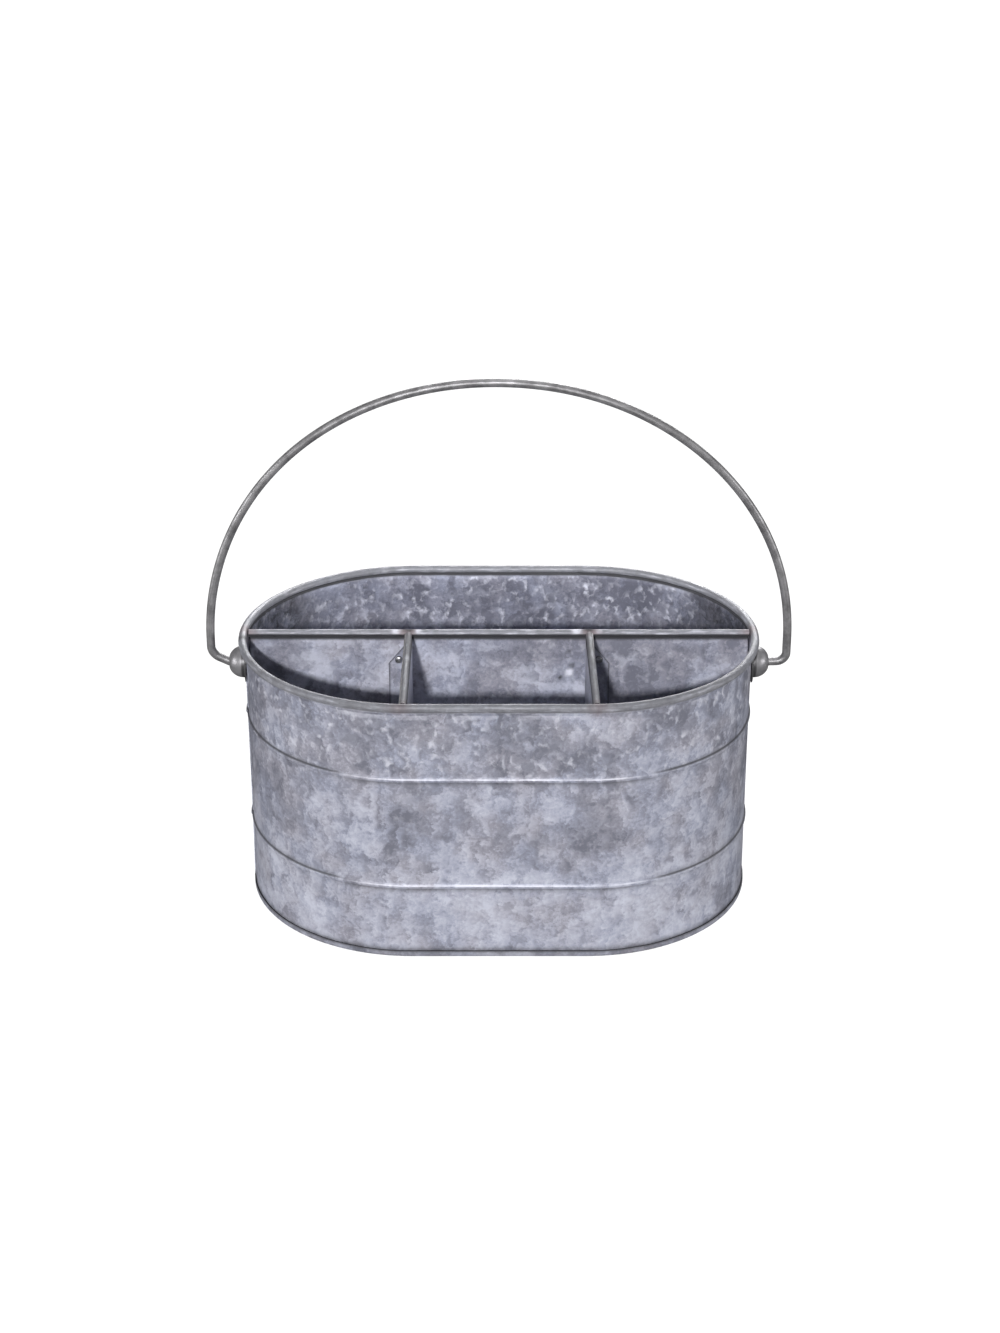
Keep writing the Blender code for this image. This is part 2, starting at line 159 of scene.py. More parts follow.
class ZincSettings(bpy.types.PropertyGroup):
    light: StringProperty(
        name="Light zinc", description="Colour of the lightest crystals", default="#A6A8B4")
    middle: StringProperty(name="Blue zinc", description="Main colour of the zinc coat", default="#848796")
    warm: StringProperty(name="Warm zinc", description="Colour of its warmer clouds", default="#878690")
    dark: StringProperty(name="Dark zinc", description="Colour of the darkest crystals", default="#62636E")
    # This colour is also painted as highlights on the beads, along the rolled edges and beside the rolls'
    # joints
    pooled: StringProperty(
        name="Pooled zinc", description="Bright zinc that ran together", default="#C6C7D1")
    rolled: StringProperty(
        name="Rolled edges", description="Colour of the rubbed rolled edges", default="#87888C")
    # This colour is also painted as shade under the rims, rolls and beads and in the inside ends of the rear
    # compartment
    grime: StringProperty(name="Grime", description="Dirt in grooves and corners", default="#343438")
    tint: StringProperty(name="Heat tint", description="Mauve tint beside the joints", default="#776C70")
    # The dividers' and the inside's zinc are painted lighter than the wall's: painted light
    divider_lift: FloatProperty(
        name="Divider lift", description="How much lighter the dividers' sheet is than the wall's",
        default=1.5, min=0.5, max=2.0)
    crystal_mm: FloatProperty(
        name="Crystal size", description="Width of the zinc crystals in millimetres", default=15.0,
        min=2.0, max=30.0)
    flake_mm: FloatProperty(
        name="Flake size", description="Width of the small bright flakes in millimetres", default=4.0,
        min=0.5, max=8.0)
    inside_metal: FloatProperty(
        name="Metal share inside", description="How much of the coat still shines inside the tub",
        subtype="FACTOR", default=0.75, min=0.0, max=1.0)
    # The inside's zinc is painted lighter: painted light
    inside_lift: FloatProperty(
        name="Inside lift", description="How much lighter the coat is inside the tub", default=1.65,
        min=0.5, max=2.0)
    metal: FloatProperty(
        name="Metal share", description="How much of the coat still shines as bare zinc", subtype="FACTOR",
        default=0.22, min=0.0, max=1.0)
    roughness: FloatProperty(
        name="Roughness", description="Roughness of the zinc coat", subtype="FACTOR", default=0.48,
        min=0.0, max=1.0)


class FittingSettings(bpy.types.PropertyGroup):
    wire: StringProperty(name="Wire", description="Colour of the galvanized wire", default="#919092")
    wire_dark: StringProperty(
        name="Dark wire", description="Colour of the wire's dull patches", default="#636264")
    ear: StringProperty(name="Ear", description="Colour of the pressed ears", default="#949396")
    ear_dark: StringProperty(
        name="Dark ear", description="Colour of the ears' dull patches", default="#757477")
    rivet: StringProperty(name="Rivet", description="Colour of the rivet heads", default="#B4B5B8")
    wire_diameter: FloatProperty(
        name="Wire diameter", description="Diameter of the bail's wire", default=0.005, min=0.003,
        max=0.006, unit="LENGTH")
    left_slope: FloatProperty(
        name="Left leg slope", description="Rise of the bail's left leg as it leaves the ear",
        default=radians(28), unit="ROTATION")
    right_slope: FloatProperty(
        name="Right leg slope", description="Rise of the bail's right leg as it leaves the ear",
        default=radians(2.5), unit="ROTATION")


class StudioSettings(bpy.types.PropertyGroup):
    floor: StringProperty(name="Floor", description="Colour of the paper floor", default="#FAFAFA")
    room_light: FloatProperty(
        name="Room light", description="Strength of the soft light from all round", default=0.5, min=0.0)
    key_power: FloatProperty(
        name="Key light", description="Power of the main light in front", default=102.0, min=0.0,
        unit="POWER")
    fill_power: FloatProperty(
        name="Fill lights", description="Power of each of the lights at the two ends", default=39.0,
        min=0.0, unit="POWER")
    top_power: FloatProperty(
        name="Top light", description="Power of the light overhead", default=26.0, min=0.0, unit="POWER")
    back_power: FloatProperty(
        name="Back light", description="Power of the light behind", default=112.0, min=0.0, unit="POWER")
    floor_light: FloatProperty(
        name="Floor light", description="Strength of the light that falls on the paper floor only",
        default=3.75, min=0.0)
    camera_place: FloatVectorProperty(
        name="Camera place", description="Where the camera stands", default=(0.0, -1.2918, 0.7342),
        subtype="TRANSLATION", unit="LENGTH")
    camera_aim: FloatVectorProperty(
        name="Camera aim", description="The point that the camera looks at", default=(0.0, 0.0, 0.13864),
        subtype="TRANSLATION", unit="LENGTH")
    lens: FloatProperty(
        name="Lens", description="Focal length on a 36 mm long side, in millimetres", default=65.12,
        min=10.0)
    shift: FloatProperty(name="Shift", description="Sideways shift of the lens", default=0.00085)


# Nodes

ATTRIBUTE, BUMP, MAPPING = "ShaderNodeAttribute", "ShaderNodeBump", "ShaderNodeMapping"
MATH, MIX, NOISE = "ShaderNodeMath", "ShaderNodeMix", "ShaderNodeTexNoise"
RANGE, VECTOR, VORONOI = "ShaderNodeMapRange", "ShaderNodeVectorMath", "ShaderNodeTexVoronoi"
COORDINATES, SPLIT_COLOUR, SPLIT_PLACE = (
    "ShaderNodeTexCoord", "ShaderNodeSeparateColor", "ShaderNodeSeparateXYZ")

# A mix node's share, its two colours and their mix, by number because several of its sockets share a name
SHARE, UNDER, OVER, MIXED = 0, 6, 7, 2


def add_node(tree, kind, inputs=(), out=0, **settings):
    """A node with its settings, given back as one of its outputs, or as itself where out is None.

    Its inputs, by name or in order, get a value or a link.
    """
    node = tree.nodes.new(kind)
    for key, value in settings.items():
        setattr(node, key, value)
    for key, value in inputs.items() if isinstance(inputs, dict) else enumerate(inputs):
        if isinstance(value, bpy.types.NodeSocket):
            tree.links.new(value, node.inputs[key])
        else:
            node.inputs[key].default_value = value
    return node if out is None else node.outputs[out]


def new_finish(name, metallic, roughness):
    """A material with its shader, and the add_node function for its tree."""
    material = bpy.data.materials.new(name)
    material.use_nodes = True
    tree = material.node_tree
    shader = tree.nodes["Principled BSDF"]
    shader.inputs["Metallic"].default_value = metallic
    shader.inputs["Roughness"].default_value = roughness
    return material, shader, partial(add_node, tree)


def link_finish(material, shader, **sources):
    """Links each source to the shader's input of that name, with spaces for underscores."""
    for name, source in sources.items():
        material.node_tree.links.new(source, shader.inputs[name.replace("_", " ")])
    return material


def hot_dip_zinc(name, zinc, lift=1.0, metal=None, flaky=1.0, smeared=0.25, dusty=0.0):
    """Hot dip galvanized steel sheet, cut and rolled after the dip.

    The zinc froze in flat crystals and has weathered to a satin grey, mostly dull oxide by now.
    So the eye sees soft overlapping patches, each shaded from one side to the other, upright runs,
    small bright flakes, dull grime and painted shade in the grooves, painted highlights on the beads
    and rolled edges, and a mauve tint beside the joints. lift paints it lighter, as painted light;
    flaky and smeared say how much of each it has, and dusty how much painted shade lies in the rear ends.
    """
    material, shader, add = new_finish(name, metal or zinc.metal, zinc.roughness)
    laid = add(ATTRIBUTE, out="Vector", attribute_name="laid_flat")
    height = add(SPLIT_PLACE, (laid,), "Y")

    # Feathered edges: places are pushed about, further for the crystals than for the flakes
    feather = add(NOISE, {"Vector": laid, "Scale": per_mm(8), "Detail": 6.0, "Roughness": 0.65}, "Color")
    pushed, softly = (
        add(VECTOR, (feather, (reach, reach, 0.0), laid), operation="MULTIPLY_ADD")
        for reach in (0.018, 0.006))
    drained, wiped, slanted, pulled = (
        add(MAPPING, {"Vector": source, "Rotation": (0.0, 0.0, turn), "Scale": (along, up, 1.0)})
        for source, turn, along, up in (
            (pushed, 0, 1, 0.22), (pushed, 0, 0.6, 1.3), (softly, 0.5, 1, 0.75), (laid, 0, 0.16, 1)))

    # Two layers of crystals, each crystal shaded along its own direction. The small ones have crisper borders
    layers = []
    for size, softness in ((zinc.crystal_mm, 0.3), (zinc.crystal_mm / 2, 0.2)):
        cells = {"Vector": pushed, "Scale": per_mm(size), "Smoothness": softness}
        crystals = add(VORONOI, cells, None, feature="SMOOTH_F1")
        colour, place = (crystals.outputs[output] for output in ("Color", "Position"))
        inside = add(VECTOR, (pushed, place), operation="SUBTRACT")
        direction = add(VECTOR, (colour, (2.0, 2.0, 0.0), (-1.0, -1.0, 0.0)), operation="MULTIPLY_ADD")
        slope = add(VECTOR, (inside, direction), "Value", operation="DOT_PRODUCT")
        parts = add(SPLIT_COLOUR, (colour,), None)
        layers.append(add(MATH, (slope, per_mm(size) * 0.9, parts.outputs["Blue"]), operation="MULTIPLY_ADD"))
        if size == zinc.crystal_mm:
            crystal_gloss = parts.outputs["Green"]

    # Every noise has its cell's real width in millimetres, its detail and its roughness
    clouds, runs, mottle, specks, hues, smears, flakes, crowds, streaks, breaks, waves, stains = (
        add(NOISE, {
            "Vector": source, "Scale": per_mm(size), "Detail": detail, "Roughness": rough,
            "Distortion": twist})
        for source, size, detail, rough, twist in (
            (laid, 55, 2.5, 0.5, 0), (drained, 8, 4, 0.6, 0), (pushed, 7, 6, 0.62, 0), (laid, 2, 3, 0.6, 0),
            (pushed, 24, 4, 0.5, 0), (wiped, 15, 3, 0.5, 0), (slanted, zinc.flake_mm, 2, 0.5, 0),
            (laid, 16, 2, 0.5, 0), (pulled, 1.6, 3, 0.5, 0), (laid, 5, 4, 0.65, 0), (laid, 7, 3, 0.5, 0),
            (drained, 12, 6, 0.7, 0.4)))

    # The sheet gets a painted shade towards the rim, and dull stains 3 to 8 mm wide lie over all of it. The
    # start brings the sum to about 0.8, between the dark and the light crystals
    shade_to_rim = add(RANGE, (height, 0.02, 0.14))
    stained = add(RANGE, (stains, 0.56, 0.68))
    tone = -0.73
    for source, share in (
            (layers[0], 0.17), (layers[1], 0.18), (clouds, 1.0), (runs, 0.65), (mottle, 0.75), (specks, 0.62),
            (shade_to_rim, -0.27), (stained, -0.28)):
        tone = add(MATH, (source, share, tone), operation="MULTIPLY_ADD")

    # Small bright flakes with soft edges, thickest in the upper band and absent on the rolled edges
    upper = add(RANGE, (height, 0.10, 0.125, 0.20 * flaky, 0.62 * flaky))
    rolled = add(RANGE, (height, 0.1555, 0.1572))
    flat = add(MATH, (1.0, rolled), operation="SUBTRACT")
    chosen = add(RANGE, (flakes, 0.52, 0.74))
    for share in (upper, add(RANGE, (crowds, 0.34, 0.58)), flat):
        chosen = add(MATH, (chosen, share), operation="MULTIPLY")

    # The crystals' own tones, pale smears where the coat was wiped, the flakes, and the rolled edges,
    # which are rubbed even, with painted highlights in thin streaks along them
    coats = [
        ("warm", add(RANGE, (hues, 0.40, 0.62))),
        ("dark", add(RANGE, (tone, 0.42, 0.86, 1.0, 0.0))),
        ("light", add(RANGE, (tone, 0.78, 1.22))),
        ("light", add(RANGE, (smears, 0.54, 0.72, 0.0, smeared))),
        ("pooled", chosen),
        ("rolled", add(MATH, (rolled, 0.65), operation="MULTIPLY")),
        ("pooled", add(MATH, (add(RANGE, (streaks, 0.52, 0.72, 0.0, 0.55)), rolled), operation="MULTIPLY")),
    ]
    # Marks of the making and painted light, broken up by a noise: pooled zinc and highlights, heat tint,
    # grime and shade
    for mark, low, high in (("pooled", 0.70, 1.15), ("tint", 0.50, 1.20), ("grime", 0.40, 1.15)):
        painted = add(ATTRIBUTE, out="Fac", attribute_name=mark)
        ragged = add(RANGE, (add(MATH, (painted, breaks), operation="ADD"), low, high))
        coats.append((mark, add(MATH, (ragged, painted), operation="MULTIPLY", use_clamp=True)))
    dirt_and_shade = coats[-1][1]
    if dusty:
        # A painted shade darkens the inside ends of the rear compartment
        painted_end_shade = add(ATTRIBUTE, out="Fac", attribute_name="painted_end_shade")
        uneven = add(RANGE, (mottle, 0.3, 0.6, 0.0, dusty))
        coats.append(("grime", add(MATH, (painted_end_shade, uneven), operation="MULTIPLY")))

    # A lift paints the coat lighter, as painted light, but leaves the rubbed edges and the grime as they are
    lifts = {"pooled": min(lift, 1.5), "rolled": 1.0, "grime": 1.0}
    shades = {
        key: [lifts.get(key, lift) * part for part in linear(getattr(zinc, key))[:3]] + [1.0]
        for key in ("middle", *(coat[0] for coat in coats))}
    colour = shades["middle"]
    for key, share in coats:
        colour = add(MIX, {SHARE: share, UNDER: colour, OVER: shades[key]}, MIXED, data_type="RGBA")

    # Each crystal has its own gloss, and the grime and painted shade are dull
    gloss = add(RANGE, (crystal_gloss, 0.0, 1.0, zinc.roughness - 0.1, zinc.roughness + 0.04))
    for source, share in ((mottle, 0.12), (dirt_and_shade, 0.25)):
        gloss = add(MATH, (source, share, gloss), operation="MULTIPLY_ADD")

    # Low relief: the coat's own waves, and the crystals' faint steps
    relief = waves
    for layer, share in zip(layers, (0.10, 0.05)):
        relief = add(MATH, (layer, share, relief), operation="MULTIPLY_ADD")
    bump = add(BUMP, {"Height": relief, "Strength": 0.45, "Distance": 0.0005})
    return link_finish(material, shader, Base_Color=colour, Roughness=gloss, Normal=bump)


def galvanized_wire(name, fitting, hidden=False):
    """Galvanized steel wire, drawn through a die and wiped smooth.

    It is round and even with a soft gloss, fine lines along its length and duller patches. The wires
    hidden in the rolled edges have no flat layout, so they take the pattern from their own places.
    """
    material, shader, add = new_finish(name, 0.6, 0.45)
    if hidden:
        laid = add(COORDINATES, out="Object")
    else:
        laid = add(ATTRIBUTE, out="Vector", attribute_name="laid_flat")
    drawn = add(MAPPING, {"Vector": laid, "Scale": (0.06, 1.0, 1.0)})
    # Draw lines are finer than 0.1 mm, and are drawn 0.8 mm apart so that they show
    lines = add(NOISE, {"Vector": drawn, "Scale": per_mm(0.8), "Detail": 3.0})
    patches = add(NOISE, {"Vector": laid, "Scale": per_mm(9), "Detail": 5.0, "Roughness": 0.7})
    tone = add(MATH, (lines, 0.4, patches), operation="MULTIPLY_ADD")
    bright = add(RANGE, (tone, 0.55, 0.85))
    pair = {UNDER: linear(fitting.wire_dark), OVER: linear(fitting.wire)}
    colour = add(MIX, {SHARE: bright, **pair}, MIXED, data_type="RGBA")
    gloss = add(RANGE, (patches, 0.3, 0.7, 0.50, 0.40))
    bump = add(BUMP, {"Height": tone, "Strength": 0.35, "Distance": 0.0001})
    return link_finish(material, shader, Base_Color=colour, Roughness=gloss, Normal=bump)


def pressed_zinc(name, bright, dark, grain_mm, metal, roughness):
    """Steel pressed in a die, then galvanized: smooth satin zinc, with a painted shade where it meets other
    parts and round its holes.
    """
    material, shader, add = new_finish(name, metal, roughness)
    laid = add(ATTRIBUTE, out="Vector", attribute_name="laid_flat")
    grain = add(NOISE, {"Vector": laid, "Scale": per_mm(grain_mm), "Detail": 5.0, "Roughness": 0.65})
    crystals = add(VORONOI, {"Vector": laid, "Scale": per_mm(grain_mm * 1.3)}, "Color")
    tone = add(MATH, (add(SPLIT_COLOUR, (crystals,)), 0.25, grain), operation="MULTIPLY_ADD")
    grime = add(ATTRIBUTE, out="Fac", attribute_name="grime")
    clean = add(MATH, (1.0, grime), operation="SUBTRACT")
    share = add(MATH, (add(RANGE, (tone, 0.35, 0.85)), clean), operation="MULTIPLY")
    dirt_and_shade = add(MATH, (grime, 0.85), operation="MULTIPLY")
    colour = linear(dark)
    for cover, shade in ((share, bright), (dirt_and_shade, "#2E2E30")):
        colour = add(MIX, {SHARE: cover, UNDER: colour, OVER: linear(shade)}, MIXED, data_type="RGBA")
    gloss = add(RANGE, (grain, 0.3, 0.7, roughness - 0.07, roughness + 0.07))
    bump = add(BUMP, {"Height": tone, "Strength": 0.3, "Distance": 0.0002})
    return link_finish(material, shader, Base_Color=colour, Roughness=gloss, Normal=bump)


def matte_paper(studio):
    """Matte white background paper: rough, with a tooth too faint to see."""
    material, shader, add = new_finish("matte_paper", 0.0, 0.9)
    place = add(COORDINATES, out="Object")
    tooth = add(NOISE, {"Vector": place, "Scale": per_mm(40), "Detail": 2.0})
    share = add(RANGE, (tooth, 0.0, 1.0, 0.0, 0.25))
    pair = {UNDER: linear(studio.floor), OVER: linear("#F4F4F4")}
    colour = add(MIX, {SHARE: share, **pair}, MIXED, data_type="RGBA")
    return link_finish(material, shader, Base_Color=colour)


def finish_named(name, make, *settings, **shares):
    """The material of this name, made the first time that it is asked for."""
    return bpy.data.materials.get(name) or make(name, *settings, **shares)


def wall_finishes(zinc):
    """The tub's finish outside and inside."""
    # The inside is painted lighter as painted light, with a painted shade in the rear ends
    inside = zinc.inside_lift, zinc.inside_metal
    return (
        finish_named("hot_dip_zinc", hot_dip_zinc, zinc),
        finish_named("inside_zinc", hot_dip_zinc, zinc, *inside, flaky=1.6, smeared=0.4, dusty=0.85))


# Sheet metal

def new_draft(*grids):
    """Faces through each grid's columns, with the flat layout and the marks that the finishes read.

    A column is a list of (place, place on the flat sheet, marks), as long as the grid's other columns.
    """
    draft = bmesh.new()
    kinds = draft.verts.layers
    kinds.float_vector.new("laid_flat")
    for mark in MARKS:
        kinds.float.new(mark)
    for columns in grids:
        placed = []
        for column in columns:
            corners = []
            for place, laid, marks in column:
                corner = draft.verts.new(place)
                corner[kinds.float_vector["laid_flat"]] = laid
                for mark, value in marks.items():
                    corner[kinds.float[mark]] = min(1, value)
                corners.append(corner)
            placed.append(corners)
        for left, right in zip(placed, placed[1:]):
            for row in range(len(left) - 1):
                draft.faces.new((left[row], right[row], right[row + 1], left[row + 1]))
    return draft


def full_turn(sides):
    """The angles of a full turn in this many steps, ending at the one it starts from."""
    return [turn % sides / sides * tau for turn in range(sides + 1)]


def make_piece(draft, node, material, thickness=0.0, name=None, body="tub"):
    """The finished piece: welded, given the sheet's thickness, riding on its body in place of its node."""
    name = name or f"dressed_{node}"
    bmesh.ops.remove_doubles(draft, verts=draft.verts, dist=SAME_PLACE)
    bmesh.ops.recalc_face_normals(draft, faces=draft.faces)
    mesh = bpy.data.meshes.new(name)
    draft.to_mesh(mesh)
    draft.free()
    piece = bpy.data.objects.new(name, mesh)
    bpy.context.scene.collection.objects.link(piece)
    if thickness:
        sheet = piece.modifiers.new("sheet", "SOLIDIFY")
        sheet.thickness = thickness
        sheet.offset = 0.0
        sheet.use_even_offset = True
        piece.data = bpy.data.meshes.new_from_object(
            piece.evaluated_get(bpy.context.evaluated_depsgraph_get()))
        piece.modifiers.clear()
        bpy.data.meshes.remove(mesh)
        piece.data.name = name
    piece.data.shade_smooth()
    piece.data.set_sharp_from_angle(angle=radians(38))
    piece.data.materials.clear()
    piece.data.materials.append(material)
    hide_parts(node)
    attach(piece, body)
    return piece


def line_inside(piece, material, is_inside):
    """Gives the faces on the piece's inner side their own finish."""
    piece.data.materials.append(material)
    for face in piece.data.polygons:
        face.material_index = int(is_inside(face))


def oval_stations():
    """(middle of the round, direction outward, distance along) from the left end round by the front."""
    quarter = pi / 2
    left, right = -STRAIGHT_HALF, STRAIGHT_HALF
    stations = []
    along = 0.0
    for from_x, to_x, from_angle, to_angle, steps in (
            (left, left, 2 * quarter, 3 * quarter, END_STEPS),
            (left, right, 3 * quarter, 3 * quarter, SIDE_STEPS),
            (right, right, 3 * quarter, 5 * quarter, 2 * END_STEPS),
            (right, left, 5 * quarter, 5 * quarter, SIDE_STEPS),
            (left, left, 5 * quarter, 6 * quarter, END_STEPS)):
        length = abs(to_x - from_x) + WALL_MIDDLE * (to_angle - from_angle)
        for step in range(steps):
            share = step / steps
            angle = from_angle + (to_angle - from_angle) * share
            direction = (cos(angle), sin(angle))
            stations.append((from_x + (to_x - from_x) * share, direction, along + length * share))
        along += length
    return stations + [(left, (-1.0, 0.0), along)]


def oval_point(station, radius, height):
    """The place at a station of the oval, this far from the middle of its round."""
    middle_x, (across, deep), _ = station
    return Vector((middle_x + across * radius, deep * radius, height))


def oval_reach(offset, radius):
    """Half the width of a circle, at a distance from its middle."""
    return sqrt(radius ** 2 - offset ** 2)


def roll_path(radius, sweep, steps, start=pi):
    """A rolled edge as (sideways, upward) steps round the wire."""
    angles = [start - sweep * step / steps for step in range(steps + 1)]
    return [(radius * (1 + cos(angle)), radius * sin(angle)) for angle in angles]


def path_lengths(path):
    """Distance along a path at each of its places."""
    lengths = [0.0]
    for before, after in zip(path, path[1:]):
        lengths.append(lengths[-1] + dist(before, after))
    return lengths


def ripple(along, per_metre, row, seed):
    """A slow change along an edge, between 0 and 2."""
    return 1 + waver(along * per_metre, row, seed)


def wander(along, height, depth, seed):
    """How far a sheet is off true: broad dents with smaller ones on them."""
    broad = waver(along * 14, height * 14, seed)
    small = waver(along * 48, height * 48, seed + 5)
    return depth * (broad + 0.35 * small)


def heat_tint(place, joints):
    """The tint that soldering left round each joint."""
    return sum(0.8 * spot((place - joint).length, 0.007) for joint in joints)


def wall_path(tub):
    """The wall's section as (outward, height), from the foot to the end of the rolled rim."""
    half = tub.bead_width / 2
    neck_low = RIM_Z - NECK_DROP
    path = [(0.0, height) for height in evenly(WALL_LOW.z, tub.lower_bead - half, 13)[:-1]]
    for bead, top in ((tub.lower_bead, tub.upper_bead - half), (tub.upper_bead, neck_low)):
        for step in range(17):
            along = step / 16 - 0.5
            # A swage has a flat root and a round top, so its sides are steeper than a wave's
            rise = tub.bead_rise * (0.5 + 0.5 * cos(along * tau)) ** 0.8
            path.append((rise, bead + along * tub.bead_width))
        path += [(0.0, height) for height in evenly(bead + half, top, 19)[1:-1]]
    for step in range(NECK_STEPS + 1):
        share = step / NECK_STEPS
        path.append((tub.neck * smooth_step(0, 1, share), neck_low + NECK_HEIGHT * share))
    rim = roll_path(RIM_ROLL, radians(332), RIM_STEPS, radians(227))
    return path + [(side, RIM_Z + up) for side, up in rim]


def wall_marks(tub, place, along, height, joints, rolled, edge):
    """The marks on the wall, and on its rolled rim, whose hidden edges get a painted shade."""
    uneven = 0.5 + 0.5 * waver(along * 60, height * 30, 13)
    grime = 0.6 * spot(max(0, height - 0.0046), 0.0010) + 0.5 * spot(along - tub.lap, 0.0012)
    pooled = 0.9 * smooth_step(0.5, 0.62, uneven) * spot(height - (RIM_Z - 0.0066), 0.0012) * (place.y < 0)
    tint = heat_tint(place, joints)
    painted_end_shade = 0
    if rolled:
        # The rim is darker all over, and a painted shade makes it darker at the front than at the back; its
        # hidden edges get a painted shade too
        grime += 0.52 - 0.30 * smooth_step(-0.06, 0.06, place.y) + 0.85 * edge
        tint += 0.10
    else:
        # Along the straight sides a bead's upper slope gets a painted highlight, with a painted shade under
        # it.
        # Round the ends a painted shade lies along its upper edge and a fainter one under it
        front = 1 - smooth_step(0.075, 0.100, abs(place.x))
        for bead in (tub.lower_bead, tub.upper_bead):
            over = height - bead
            pooled += (0.30 + 0.7 * uneven) * front * spot(over - 0.0006, 0.00042)
            grime += 0.62 * front * spot(over + 0.0016, 0.0006)
            grime += (1 - front) * (0.9 * spot(over - 0.0011, 0.0009) + 0.4 * spot(over + 0.0019, 0.0005))
        # A painted shade on the wall just under the rim's neck
        grime += 0.9 * smooth_step(RIM_Z - 0.0036, RIM_Z - 0.0029, height)
        # A painted shade on the inside ends of the rear compartment
        painted_end_shade = smooth_step(0.098, 0.128, abs(place.x) - 0.2 * max(0, place.y - 0.05)) * (place.y > 0)
    return {"grime": grime, "tint": tint, "pooled": pooled, "painted_end_shade": painted_end_shade}


def build_wall(tub, material, inside_material):
    """The side wall with its beads, neck and rolled rim, and a lapped seam at its left end."""
    path = wall_path(tub)
    lengths = path_lengths(path)
    rim_start = len(path) - RIM_STEPS - 1
    neck_start = rim_start - NECK_STEPS - 1
    stations = oval_stations()
    total = stations[-1][2]
    lap_top = 0.150
    lap_lift = 0.00062
    lap_steps = 5
    joints = [
        Vector((side * x, y, RIM_Z)) for x, y in ((WELD_X, -0.0985), (0.1480, 0.003)) for side in (-1, 1)]

    def corner(station, row, lift):
        out, height = path[row]
        along = station[2]
        rolled = row >= rim_start
        edge = row < rim_start + 2 or row >= len(path) - 5
        if neck_start <= row < rim_start:
            # The rim is pinched in less along the back
            out *= 1 - 0.8 * smooth_step(-0.2, 0.4, station[1][1])
        # The dents go in more than out, so that the lowered bail clears the wall
        fade = 1 - 0.75 * smooth_step(RIM_Z - 0.03, RIM_Z - 0.004, height)
        fade *= smooth_step(0.004, 0.02, height)
        push = (wander(along, height, tub.dent_depth, 1.0) - 0.5 * tub.dent_depth) * fade
        # The rim wanders only inward and down, so that it stays inside the tub's length and height
        push -= 0.0001 * ripple(along, 25, 0, 7) * smooth_step(RIM_Z - 0.02, RIM_Z, height)
        sag = 0.00011 * ripple(along, 17, 4, 2) * smooth_step(0.02, RIM_Z, height)
        if rolled:
            push -= 0.00008 * ripple(along, 90, out * 200, 3)
        place = oval_point(station, WALL_MIDDLE + out + push + lift, height - sag)
        return place, (along, lengths[row], 0.0), wall_marks(tub, place, along, height, joints, rolled, edge)

    columns = []
    for station in stations:
        joggle = lap_lift * smooth_step(total - 0.006, total - 0.001, station[2])
        columns.append([
            corner(station, row, joggle * (1 - smooth_step(lap_top - 0.01, lap_top, height)))
            for row, (_, height) in enumerate(path)])
    rows = [row for row, (_, height) in enumerate(path) if height <= lap_top - 0.01]
    lap = [[columns[-1][row] for row in rows]]
    for step in range(1, lap_steps + 1):
        turn = tub.lap * step / lap_steps
        angle = pi + turn / WALL_MIDDLE
        station = (-STRAIGHT_HALF, (cos(angle), sin(angle)), total + turn)
        lap.append([corner(station, row, lap_lift) for row in rows])
    draft = new_draft(columns, lap)
    wall = make_piece(draft, "tub_wall", material, SHEET, "dressed_wall")

    def is_inside(face):
        """True for a face towards the tub's middle and under the rolled rim."""
        across = face.center.x - max(-STRAIGHT_HALF, min(STRAIGHT_HALF, face.center.x))
        return face.normal.dot(Vector((across, face.center.y, 0))) < 0 and face.center.z < RIM_Z - 0.0030

    line_inside(wall, inside_material, is_inside)


def build_pan(material, inside_material):
    """The bottom pan: a raised panel, a flat ring to stand on and a lip outside the wall's foot."""
    inside = WALL_MIDDLE - SHEET / 2
    panel = inside - 0.0115
    panel_rise = 0.002
    lip = PAN_HIGH.y - SHEET / 2
    lip_bend = 0.0008
    low = PAN_LOW.z + SHEET / 2
    path = [(radius, low + panel_rise) for radius in (0.0, 0.02, 0.04, 0.06, 0.075, panel - 0.0004)]
    path += [(panel + 0.0005 * step, low + panel_rise * (1 - smooth_step(0, 5, step))) for step in range(6)]
    path += [(radius, low) for radius in evenly(panel + 0.003, lip - 0.0009, 5)]
    for step in range(1, 8):
        angle = step / 8 * pi / 2
        path.append((lip - lip_bend * (1 - sin(angle)), low + lip_bend * (1 - cos(angle))))
    path += [(lip, height) for height in (low + 0.0009, 0.0022, 0.0032, PAN_HIGH.z)]
    lengths = path_lengths(path)
    columns = []
    for station in oval_stations():
        column = []
        for row, (radius, height) in enumerate(path):
            rise = smooth_step(low + 0.001, PAN_HIGH.z, height) if radius > inside else 0.0
            push = -0.00012 * ripple(station[2], 30, 0, 11) * rise
            drop = 0.00025 * ripple(station[2], 40, 3, 5) * rise
            if radius < panel:
                height += 0.0003 * waver(station[0] * 20, radius * station[1][1] * 20, 9)
            flat = oval_point(station, lengths[row], 0)
            grime = 0.8 * spot(radius - panel - 0.0012, 0.002) + 0.7 * spot(radius - inside, 0.002)
            grime += 0.5 * spot(height - PAN_HIGH.z, 0.0008) * (radius > inside)
            place = oval_point(station, radius + push, height - drop)
            column.append((place, (flat.x, flat.y, 0.7), {"grime": grime, "tint": 0.25 * rise}))
        columns.append(column)
    draft = new_draft(columns)
    pan = make_piece(draft, "tub_floor", material, SHEET, "dressed_pan")
    line_inside(pan, inside_material, lambda face: face.normal.z > 0.5)


